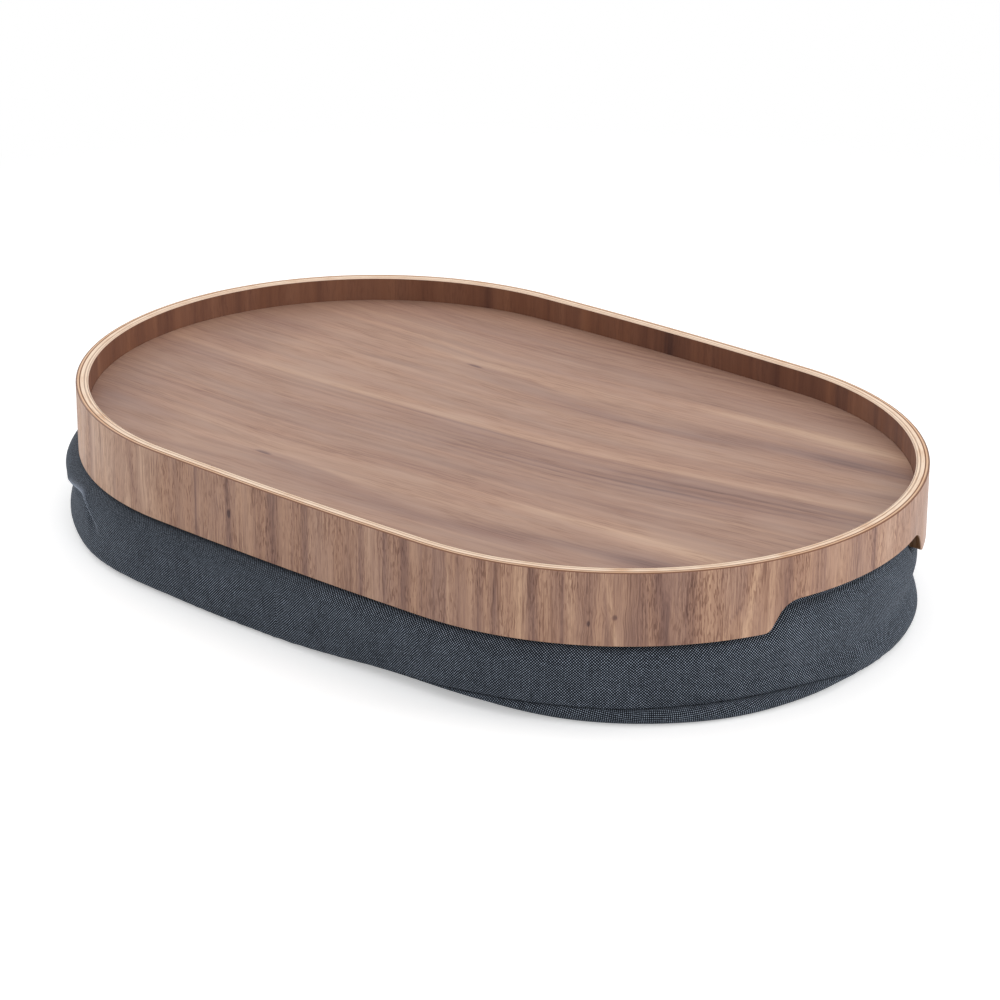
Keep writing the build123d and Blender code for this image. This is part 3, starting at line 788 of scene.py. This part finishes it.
COVER_PACE = 1.8 * MM  # distance between two columns of the cover's points
COVER_NODES = (
    # how the filled cover sits, by distance s from the front's middle; out is from the rim's outer face, all in mm: s,
    # base out, roll out, roll height, roundness, seam out, seam height, belly out, belly height, pinch out, swell out
    (-343, -14, -4.4, 0.1, 0, -3.4, 0.3, 5.6, 8, 4.6, 7.2), (-260, -14, -4.4, 0.1, 0, -3.2, 0.3, 5.6, 8, 5.2, 7.6),
    (-215, -14, -4, 0.1, 0, -2.8, 0.3, 5.5, 7.5, 5, 7.4), (-190, -13, -2.4, 0.1, 0, -1.2, 0.3, 5.6, 7.2, 4.6, 6.2),
    (-175, -12, -0.6, 0.1, 0, 0.8, 0.3, 6.2, 7, 4.8, 5.8), (-160, -11, 0.8, 0.1, 0, 2.4, 0.3, 6.7, 7, 5.2, 5.6),
    (-145, -11, 0.9, 0.1, 0, 2.4, 0.3, 6.6, 7.4, 5.2, 5.5), (-130, -11, 0, 0.1, 0, 1.3, 0.3, 5.9, 8, 5.1, 5.3),
    (-112, -12, -1.4, 0.1, 0, -0.4, 0.3, 5.3, 8.8, 5, 5.1), (-90, -12, -1.1, 0.1, 0, 0, 0.3, 5.1, 9, 4.9, 5),
    (-68, -12, -0.6, 0.1, 0, 0.5, 0.3, 5.1, 9, 4.9, 4.9), (-52, -12, -0.9, 0.1, 0, 0.2, 0.3, 5.1, 9.2, 4.9, 4.8),
    (-34, -11, 0.4, 0.1, 0, 1.7, 0.3, 5.4, 8.6, 4.9, 4.8), (-15, -11, -0.1, 0.1, 0, 1, 0.3, 5.2, 9, 4.9, 4.8),
    (6, -12, -1.2, 0.2, 0, -0.2, 0.4, 4.9, 9.5, 4.8, 4.8), (20, -12, -1.8, 0.4, 0, -0.6, 0.7, 4.5, 10.5, 4.4, 4.6),
    (33, -12, -1.8, 1, 0, -0.5, 1.5, 4, 12, 4, 4.4), (45, -13, -2, 1.9, 0, -0.8, 2.4, 3.5, 13.5, 3.5, 4),
    (58, -13, -1.8, 2.9, 0, -0.4, 3.5, 3, 15, 3, 3.6), (75, -14, -0.4, 4.7, 0, 0.4, 5.4, 2.5, 15.5, 2.6, 3.3),
    (97, -13, 0.5, 6, 0, 0.8, 6.9, 2.4, 15, 2.4, 3.2), (110, -12.5, 1.1, 6.3, 0, 1.2, 7.8, 2.4, 15, 2.4, 3.2),
    (125, -10, 1.9, 5.8, 0, 1.4, 8.2, 2.6, 15, 2.4, 3.2), (140, -7.5, 2.7, 5.5, 0.3, 1.5, 8.4, 2.6, 15, 2.4, 3.2),
    (155, -5, 3, 5.4, 0.6, 1.5, 8.5, 2.6, 15, 2.4, 3), (170, -2.4, 3.2, 5.7, 0.9, 1.5, 8.5, 2.6, 15, 2.2, 3),
    (189, -0.8, 4.4, 5.2, 1, 1.5, 8.3, 2.5, 15, 2, 2.8), (209, 0.1, 5, 4.9, 1, 1.3, 8.1, 2.4, 15, 1.8, 2.4),
    (240, 1.5, 5.7, 4.3, 1, 0.8, 8.4, 2, 14, 1, 1.6), (262, 1, 5.4, 4.5, 1, 0.3, 8.6, 1.6, 13.5, 0.2, 0.8),
    (283, -1.8, 3.8, 5.6, 1, -0.2, 8.5, 1, 13, -0.8, 0),
    (300, -3.4, 3.2, 6.2, 0.9, -0.4, 7.9, 0.8, 12, -1.8, -0.6),
    (318, -4.5, 2.4, 5, 0.5, -0.2, 6.2, 0.6, 10.5, -3, -1.4),
    (336, -9, -0.9, 1.6, 0.1, -0.5, 2.6, 0.1, 8.5, -4.2, -2),
    (348, -12, -4.6, 0.5, 0, -3.4, 0.9, -0.6, 8, -4.8, -2.4),
    (360, -13, -6.6, 0.1, 0, -5.2, 0.4, -0.7, 7.6, -5.3, -2.7),
    (375, -13, -5, 0.1, 0, -3.6, 0.3, 0.2, 7, -5.8, -3),
    (388, -13, -6.4, 0.1, 0, -5.2, 0.3, -0.6, 6.4, -6.1, -3.3),
    (405, -14, -8, 0.1, 0, -6.8, 0.3, -1.2, 5.6, -6.3, -3.6),
    (425, -14, -8.6, 0.1, 0, -7.4, 0.3, -1.8, 5, -6.5, -4),
    (445, -14, -9.2, 0.1, 0, -8.2, 0.3, -3.2, 5, -6.9, -4.2),
    (465, -14, -10.4, 0.1, 0, -9.4, 0.3, -5.2, 6, -7.2, -4.4),
    (485, -13, -9.4, 0.1, 0, -8.4, 0.3, -4.2, 6.5, -6.2, -3.6),
    (510, -12.5, -5.6, 0.1, 0, -4.6, 0.3, 0, 7.5, -2.4, -1),
    (570, -8, -1.6, 3.4, 0.4, -1.4, 4.6, 1.8, 11, 0.6, 1.6), (620, -3, 2.4, 5.8, 1, 0.6, 8, 2.6, 13, 1.8, 3),
    (700, -2, 3.4, 5.4, 1, 1, 8.4, 3, 14, 2.4, 3.6), (800, -3, 2.4, 5.4, 1, 0.8, 8, 3.4, 13, 2.8, 4.2),
    (860, -8, -1.4, 3.4, 0.4, -1.2, 4.4, 4.4, 11, 3.2, 5.2),
    (920, -14, -4.4, 0.1, 0, -3.2, 0.4, 5.2, 8.5, 3.8, 6.2),
)
COVER_EASE = 24  # mm over which the rows above are evened, either way


def along_cover(shape, s):
    """Columns of the table above at each s: straight between the rows, then evened by a bell curve either way."""
    around, table = perimeter(shape) / MM, np.array(COVER_NODES)
    fine = np.arange(0, around, 1.0)
    weights = np.hanning(2 * COVER_EASE + 1)
    wrapped = np.concatenate([table[:, 0], table[:1, 0] + around])
    place = np.where(fine > table[0, 0] + around, fine - around, fine)
    columns = []
    for column in table[:, 1:].T:
        value = np.interp(place, wrapped, np.append(column, column[0]))
        value = np.concatenate([value[-COVER_EASE:], value, value[:COVER_EASE]])
        value = np.convolve(value, weights / weights.sum(), "valid")
        columns.append(np.interp(np.mod(s / MM, around), np.append(fine, around), np.append(value, value[0])) * MM)
    return columns


def quarter(first, second, count, upright_first):
    """Quarter ellipse from one (out, height) pair to another, in even steps of its angle: it leaves the first point
    upright and reaches the second level, or the other way round."""
    turn = np.linspace(0, np.pi / 2, count)[:, None]
    slow, fast = 1 - np.cos(turn), np.sin(turn)
    across, up = (slow, fast) if upright_first else (fast, slow)
    return first[0] + (second[0] - first[0]) * across, first[1] + (second[1] - first[1]) * up


def s_curve(first, second, count):
    """S-curve from one (out, height) pair to another: upright at both ends."""
    part = np.linspace(0, 1, count)[:, None]
    return first[0] + (second[0] - first[0]) * smooth(part), first[1] + (second[1] - first[1]) * part


def joined(pieces, even=2):
    """Pieces of a section end to end, each joint left out once, then evened over a few rows."""
    out = np.concatenate([piece[0][:-1] for piece in pieces[:-1]] + [pieces[-1][0]])
    z = np.concatenate([piece[1][:-1] for piece in pieces[:-1]] + [pieces[-1][1]])
    for _ in range(even):
        for value in (out, z):
            value[1:-1] = 0.25 * value[:-2] + 0.5 * value[1:-1] + 0.25 * value[2:]
    return out, z


COVER_WAVES = (
    # size mm, count and seed of the stray waves of seam, seam height, roll, swell and belly
    (0.2, 6, 3), (0.15, 9, 4), (0.25, 7, 6), (0.3, 5, 8), (0.25, 6, 13),
)
FLAT_RIM = 46 * MM  # width of the flat part of the bottom panel that belongs to its section
SEAM_TUCK, SEAM_LIP = 2.4 * MM, 0.35 * MM  # how far the lower seam is drawn in, and how high the cloth rounds over it
SEAM_LAP = (0.2 * MM, 0.25 * MM)  # how far the bottom panel ends inside and below the lower seam
PINCH_HEIGHT, PINCH_RISE = 18 * MM, 4 * MM  # least height of the pinch, and least distance above the belly
SWELL_HEIGHT = 31 * MM  # where the cloth stands out most under the rim
NECK, SHOULDER = (-7.5 * MM, 40.3 * MM), (-7.9 * MM, 40.9 * MM)  # distance out and height, entering the rim
CROWN = (-19 * MM, -0.1 * MM)  # where the cloth is highest: distance out, and height from the top
TOP_SEAM = -0.9 * MM  # height of the top seam from the top
NOTCH_SHARE = 0.62  # how much of a grip notch's height the neck under it rises


def cover_sections(shape, cushion, s):
    """The cover's section at each s, as arrays of distance out and height: the bottom panel from the table to the
    lower seam, and the side band from there round belly, pinch, swell and neck up to the top seam."""
    around, flat = perimeter(shape), np.zeros_like(s)
    base, roll, roll_z, rolled, seam, seam_z, belly, belly_z, pinch, swell = along_cover(shape, s)
    rolled = rolled / MM
    seam, seam_z, roll, swell, belly = (
        value + size * MM * waves(s, around, count, seed)
        for value, (size, count, seed) in zip((seam, seam_z, roll, swell, belly), COVER_WAVES))

    round_out, round_z = quarter((base, flat), (roll, roll_z), 24, False)
    part = np.linspace(0, 1, 24)[:, None]
    under = (rolled * round_out + (1 - rolled) * (base + (roll - base) * part),
             rolled * round_z + (1 - rolled) * roll_z * part)
    tuck = (seam - SEAM_TUCK, seam_z)
    top_edge = (np.minimum(seam - SEAM_LAP[0], roll), seam_z - SEAM_LAP[1])
    inner = np.linspace(0, 1, 8)[:, None]
    bottom = joined([
        (-FLAT_RIM + (base + FLAT_RIM) * inner, flat * inner), under, quarter((roll, roll_z), top_edge, 14, True),
        s_curve(top_edge, tuck, 6),
    ], 1)

    notch = NOTCH_SHARE * (notch_edge(shape, *outline(shape, s, 0.0)[:2]) - shape.rim_low)
    lip = (seam, seam_z + SEAM_LIP)
    pinched = (pinch, np.maximum(PINCH_HEIGHT, belly_z + PINCH_RISE))
    swollen = (swell, flat + SWELL_HEIGHT)
    neck, shoulder = ((flat + out, height + notch) for out, height in (NECK, SHOULDER))
    crown = (flat + CROWN[0], flat + cushion.top + CROWN[1])
    band = joined([
        quarter(tuck, lip, 5, False), quarter(lip, (belly, belly_z), 24, False),
        s_curve((belly, belly_z), pinched, 14), s_curve(pinched, swollen, 22),
        quarter(swollen, neck, 26, True), quarter(neck, shoulder, 4, False), quarter(shoulder, crown, 22, True),
        s_curve(crown, (flat - cushion.shoulder, flat + cushion.top + TOP_SEAM), 8),
    ])
    return bottom, band


PUCKER_TURNS = (83, 121, 167, 223)  # waves round the whole seam
PUCKER_SEED = 21
# Shares of a panel's section: where the side band's puckers fade and start above the seam, and the start and run of
# the bottom panel's
PUCKER_FADE, PUCKER_START = 0.10, 0.02
PUCKER_IN, PUCKER_OUT = (0.55, 0.3), (1, -0.05)


def pucker_fold(shape, cushion, s, near):
    """Small folds that a seam draws into the cloth: short waves along it, in groups, that die out away from it."""
    around = perimeter(shape)
    draw = np.random.default_rng(PUCKER_SEED)
    total = np.zeros_like(s)
    for turns in PUCKER_TURNS:
        group = 0.45 + 0.55 * np.sin(2 * np.pi * (5 + turns % 7) * s / around + turns)
        total += np.sin(2 * np.pi * turns * s / around + draw.uniform(0, 2 * np.pi)) * group
    return cushion.pucker * near * total / 2


# The fold round the left end, in mm: start along the rim and run of its ends, and of its depth, its lip and its painted
# highlight
FOLD_FRONT, FOLD_BACK = (-139, -22), (-340, 90)
FOLD_DEEP, FOLD_LIP, FOLD_HIGHLIGHT = (-192, 18), (-205, 15), (-200, 20)
FOLD_ARCH = (-162, 14, 45, 13)  # the arch's top along the rim, its rise, and its spread to the back and to the front
FOLD_VALLEY = (-1.6, 5.0, 2.5)  # height from the arch, and spread below and above
LIP_PLACE, HIGHLIGHT_PLACE = (2.6, 1.9), (1.0, 2.0)  # height from the arch, and spread
FOLD_LEAST = 0.62  # share of the crease's depth that the fold has towards the back
LIP_SIZE = (0.20, 0.35)  # the lip's size beside the valley's at the back, and how much it grows to the front
HIGHLIGHT_MOST = 0.85


def crease_fold(shape, cushion, s, z):
    """The fold round the left end: it rises and falls along an arch, with a steep wall above a pocket that runs out
    gently below it, and dies out towards the front and the back. Returns how far it moves the cloth out, and how much
    pale is painted along its ridge as a painted highlight."""
    place = from_joint(shape, s) / MM
    fade = ramp(place, *FOLD_FRONT) * ramp(place, *FOLD_BACK)
    deep, lip, highlight_fade = (ramp(place, *part) for part in (FOLD_DEEP, FOLD_LIP, FOLD_HIGHLIGHT))
    top, rise, behind, ahead = FOLD_ARCH
    gap = z / MM - (cushion.crease_height / MM + rise * bell(place, top, np.where(place < top, behind, ahead)))
    bottom, below, above = FOLD_VALLEY
    valley = -bell(gap, bottom, np.where(gap < bottom, below, above))
    lip = (LIP_SIZE[0] + LIP_SIZE[1] * lip) * bell(gap, *LIP_PLACE)
    # painted highlight: how much pale is painted along the fold's ridge
    rubbed = HIGHLIGHT_MOST * fade * highlight_fade * bell(gap, *HIGHLIGHT_PLACE)
    return cushion.crease * fade * (FOLD_LEAST + deep) * (valley + lip), rubbed


def swept_points(shape, s, out, z):
    """Points of a swept surface: the outline at s moved outwards by out, at height z."""
    return np.stack([*outline(shape, np.broadcast_to(s, out.shape), out)[:2], z], -1)


def run_along(points):
    """Distance along the section at each point, from its first row."""
    step = np.linalg.norm(np.diff(points, axis=0), axis=-1)
    return np.concatenate([np.zeros((1, points.shape[1])), np.cumsum(step, 0)])


NAP, END_NAP = 0.65, 0.45  # most that the nap hides the weave, and the share of that all over the left end
# Start and run of the raised nap, in mm: up, to the left, to the front, and on to the left end
NAP_UP, NAP_LEFT, NAP_FRONT, NAP_END = (24, 12), (60, -120), (30, -80), (-90, -130)


def side_band(shape, cushion, s, out, z, cloth):
    """Side band: its section carried round the outline, puckered above the lower seam and creased along the fold.
    The nap is raised in front on the left, where the cloth rubs under the rim, and a little all over the left end."""
    level = np.linspace(0, 1, len(out))[:, None]
    near = bell(level, 0, PUCKER_FADE) * smooth(level / PUCKER_START)
    fold, rubbed = crease_fold(shape, cushion, s[None, :], z)
    points = swept_points(shape, s, out + pucker_fold(shape, cushion, s[None, :], near) + fold, z)
    uv = np.stack([np.broadcast_to(s, out.shape), run_along(points)], -1)
    x, y, height = np.moveaxis(points / MM, -1, 0)
    raised = NAP * ramp(height, *NAP_UP) * ramp(x, *NAP_LEFT) * ramp(y, *NAP_FRONT)
    raised += (NAP - raised) * END_NAP * ramp(x, *NAP_END)
    return put_mesh("cover_side_band", points.reshape(-1, 3), [grid_faces(*out.shape)], cloth, uv.reshape(-1, 2),
                    {"rubbed": rubbed.reshape(-1), "raised_nap": raised.reshape(-1)}, angle=60)


def bottom_panel(shape, cushion, s, out, z, cloth):
    """Bottom panel: flat rings that widen from the middle, then the section carried round the outline up to the lower
    seam. The weave lies flat over the rings and goes on up the section at its own length."""
    level = np.linspace(0, 1, len(out))[:, None]
    near = ramp(level, *PUCKER_IN) * ramp(level, *PUCKER_OUT)
    points = swept_points(shape, s, out + pucker_fold(shape, cushion, s[None, :], near), np.maximum(z, 0))
    shares = np.linspace(HUB_SHARE, 1, 30)[:-1, None, None]
    points = np.concatenate([points[:1] * np.concatenate([shares, shares, 0 * shares], -1), points])
    normal, run, rest = np.stack(outline(shape, s, 0.0)[2:], -1), run_along(points), len(shares)
    section = points[rest, :, :2] + normal * (run[rest:] - run[rest])[..., None]
    uv = np.concatenate([points[:rest, :, :2], section])
    return put_mesh("cover_bottom_panel", points.reshape(-1, 3), [grid_faces(*points.shape[:2])], cloth,
                    uv.reshape(-1, 2), angle=60)


PATCH_HALF = (35 * MM, 12.5 * MM)  # half length and half width of a loop patch
PATCH_EASE = 14 * MM  # distance over which the cloth rises beside a patch
SEAM_RUN, CROWN_RUN = 0.06, 0.3  # shares of the way in over which the top panel leaves its seam, and rises
CROWN_ROLL = 41 * MM  # x over which the rise changes by one radian of its wave


def patch_cover(x, y):
    """1 on the cushion's four loop patches and 0 a little way off them, from the box that the four fill together."""
    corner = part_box("loop_patches")[1]
    gaps = [np.abs(np.abs(place) - (end - half)) - half for place, end, half in zip((x, y), corner, PATCH_HALF)]
    return 1 - smooth(np.maximum(*gaps) / PATCH_EASE)


def top_panel(shape, cushion, s, cloth):
    """Top panel: rings that shrink from the top seam to the middle, risen a little between the loop patches."""
    share = np.linspace(1, HUB_SHARE, 60)[:, None]
    edge = swept_points(shape, s, -cushion.shoulder + np.zeros((1, len(s))), 0 * s[None, :])
    points = edge * share[..., None]
    rise = smooth((1 - share) / SEAM_RUN)
    crown = cushion.crown * smooth((1 - share) / CROWN_RUN) * (1 - patch_cover(points[..., 0], points[..., 1]))
    crown = crown * (0.8 + 0.2 * np.sin(points[..., 0] / CROWN_ROLL))
    points[..., 2] = cushion.top + TOP_SEAM * (1 - rise) + CROWN[1] * rise + crown
    return put_mesh("cover_top_panel", points.reshape(-1, 3), [grid_faces(*points.shape[:2])], cloth,
                    points[..., :2].reshape(-1, 2), angle=60)


class LAPTRAY_OT_cushion(bpy.types.Operator):
    """Builds the cushion's cover in three panels round its bead filling"""
    bl_idname = "laptray.cushion"
    bl_label = "Cushion"

    def execute(self, context):
        shape, cushion = context.scene.tray_shape, context.scene.cushion_shape
        cloth = weave("woven_melange_cover", context.scene.cloth_look, cushion.thread)
        around = perimeter(shape)
        s = np.linspace(0, around, int(around / COVER_PACE) + 1)
        bottom, band = cover_sections(shape, cushion, s)
        side = side_band(shape, cushion, s, *band, cloth)
        base = bottom_panel(shape, cushion, s, *bottom, cloth)
        top = top_panel(shape, cushion, s, cloth)
        for obj, node in ((side, "cushion_side_band"), (base, "cushion_bottom_panel"), (top, "cushion_top_panel")):
            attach(obj, "cushion")
            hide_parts(node)
        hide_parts("bead_bag", "bead_fill")
        return {"FINISHED"}


class LAPTRAY_OT_patches(bpy.types.Operator):
    """Gives the hook and loop patches their finishes"""
    bl_idname = "laptray.patches"
    bl_label = "Patches"

    def execute(self, context):
        look = context.scene.cloth_look
        for node, material in (("hook_patches", tape("nylon_hook_tape", look.hook, 0.9, 0.5)),
                               ("loop_patches", tape("nylon_loop_tape", look.loop, 0.7, 0.95))):
            dress(node, material)
        return {"FINISHED"}


# Stage

LAMPS = (
    # name, place m, size m, its power among the settings, height m that it aims at
    ("top_soft_box", (-0.35, 0.45, 1.7), 1.6, "top", 0),
    ("left_soft_box", (-2.0, -0.1, 0.7), 1.2, "side", 0.05),
    ("right_soft_box", (1.5, 1.2, 0.8), 1.2, "side", 0.05),
    ("front_soft_box", (1.6, -1.0, 0.7), 1.2, "front", 0.05),
)
WHITE = (1, 1, 1, 1)
FLOOR_HALF = 8.0  # m
FLOOR_FADE = (0.38, 0.8)  # distance m from the tray where the floor starts to turn plain white, and where it is
FLOOR_LIFT = 0.35  # glow of the near floor to the eye, so that only the shadow shows


def lamp(name, place, size, power, target):
    """Square soft box at a place, turned to a target."""
    data = bpy.data.lights.new(name, "AREA")
    data.shape, data.size, data.energy = "SQUARE", size, power
    obj = bpy.data.objects.new(name, data)
    obj.location = place
    obj.rotation_mode = "QUATERNION"
    obj.rotation_quaternion = (Vector(target) - Vector(place)).to_track_quat("-Z", "Y")
    bpy.context.scene.collection.objects.link(obj)


def seen_white(tree):
    """1 for rays from the camera and for rays that a glossy or clear surface sends on, 0 for the light itself."""
    path = add(tree, "LightPath")
    seen = path["Is Camera Ray"]
    for ray in ("Is Glossy Ray", "Is Transmission Ray"):
        seen = add(tree, "Math", {"operation": "MAXIMUM"}, seen, path[ray])[0]
    return seen


class LAPTRAY_OT_stage(bpy.types.Operator):
    """Builds the floor, the lamps, the world light and the camera"""
    bl_idname = "laptray.stage"
    bl_label = "Stage"

    def execute(self, context):
        scene, look = context.scene, context.scene.stage_look
        scene.view_settings.view_transform = "Standard"

        material, tree, shader = surface("pale_floor")
        fill(shader, {"Base Color": look.floor, "Roughness": 0.9, "Specular IOR Level": 0.0})
        place = add(tree, "TexCoord")["Object"]
        away = add(tree, "VectorMath", {"operation": "LENGTH"}, place)["Value"]
        far = add(tree, "MapRange", {"Value": away, "From Min": FLOOR_FADE[0], "From Max": FLOOR_FADE[1],
                  "interpolation_type": "SMOOTHSTEP"})["Result"]
        seen = seen_white(tree)
        glow = add(tree, "Emission", {"Color": WHITE, "Strength": 1.0})["Emission"]
        lift = add(tree, "Math", {"operation": "MULTIPLY"}, seen, FLOOR_LIFT)[0]
        lift = add(tree, "Emission", {"Color": WHITE, "Strength": lift})["Emission"]
        near = add(tree, "AddShader", None, shader.outputs["BSDF"], lift)["Shader"]
        share = add(tree, "Math", {"operation": "MULTIPLY"}, far, seen)[0]
        mixed = add(tree, "MixShader", None, share, near, glow)["Shader"]
        fill(tree.nodes["Material Output"], {"Surface": mixed})
        corners = FLOOR_HALF * np.array([(-1, -1, 0), (1, -1, 0), (1, 1, 0), (-1, 1, 0)])
        floor = put_mesh("studio_floor", corners, [np.array([[0, 1, 2, 3]])], material)

        world = bpy.data.worlds.new("even_studio_light")
        scene.world = world
        world.use_nodes = True
        tree = world.node_tree
        tree.nodes.clear()
        light = add(tree, "Background", {"Color": WHITE, "Strength": look.world})["Background"]
        white = add(tree, "Background", {"Color": WHITE, "Strength": 1.0})["Background"]
        both = add(tree, "MixShader", None, seen_white(tree), light, white)["Shader"]
        add(tree, "OutputWorld", {"Surface": both})

        for name, place, size, setting, target in LAMPS:
            lamp(name, place, size, getattr(look, setting), (0, 0, target))

        data = bpy.data.cameras.new("camera")
        data.sensor_width, data.lens = 36, look.lens
        data.clip_start, data.clip_end = 0.05, 40
        camera = bpy.data.objects.new("camera", data)
        sy, cy, sp, cp = math.sin(look.yaw), math.cos(look.yaw), math.sin(look.pitch), math.cos(look.pitch)
        ahead, right = Vector((sy * cp, cy * cp, -sp)), Vector((cy, -sy, 0))
        up = right.cross(ahead)
        sr, cr = math.sin(look.roll), math.cos(look.roll)
        side, over = right * cr + up * sr, up * cr - right * sr
        turn = Matrix((side, over, -ahead)).transposed().to_4x4()
        camera.matrix_world = Matrix.Translation(look.camera) @ turn
        scene.collection.objects.link(camera)
        scene.camera = camera
        return {"FINISHED"}


class LAPTRAY_PT_panel(bpy.types.Panel):
    """Lists the sizes, the colours and the steps"""
    bl_idname = "LAPTRAY_PT_panel"
    bl_label = "Lap Tray"
    bl_space_type = "VIEW_3D"
    bl_region_type = "UI"
    bl_category = "Lap Tray"

    def draw(self, context):
        for step in STEPS:
            self.layout.operator(step.bl_idname)
        for group in SETTINGS:
            box = self.layout.box()
            box.label(text=SETTINGS[group].__doc__)
            values = getattr(context.scene, group)
            for key in SETTINGS[group].__annotations__:
                box.prop(values, key)


STEPS = (LAPTRAY_OT_stage, LAPTRAY_OT_rim, LAPTRAY_OT_board, LAPTRAY_OT_cushion, LAPTRAY_OT_patches)
SETTINGS = {
    "tray_shape": TrayShape,
    "cushion_shape": CushionShape,
    "wood_look": WoodLook,
    "cloth_look": ClothLook,
    "stage_look": StageLook,
}


def register():
    """Adds the settings, the steps and the panel."""
    for item in (*SETTINGS.values(), *STEPS, LAPTRAY_PT_panel):
        bpy.utils.register_class(item)
    for key, group in SETTINGS.items():
        setattr(bpy.types.Scene, key, bpy.props.PointerProperty(type=group))


def unregister():
    """Takes them all out again."""
    for key in SETTINGS:
        delattr(bpy.types.Scene, key)
    for item in reversed((*SETTINGS.values(), *STEPS, LAPTRAY_PT_panel)):
        bpy.utils.unregister_class(item)


def main():
    """Builds everything in order."""
    register()
    for step in STEPS:
        group, name = step.bl_idname.split(".")
        getattr(getattr(bpy.ops, group), name)()


if __name__ == "__main__":
    main()
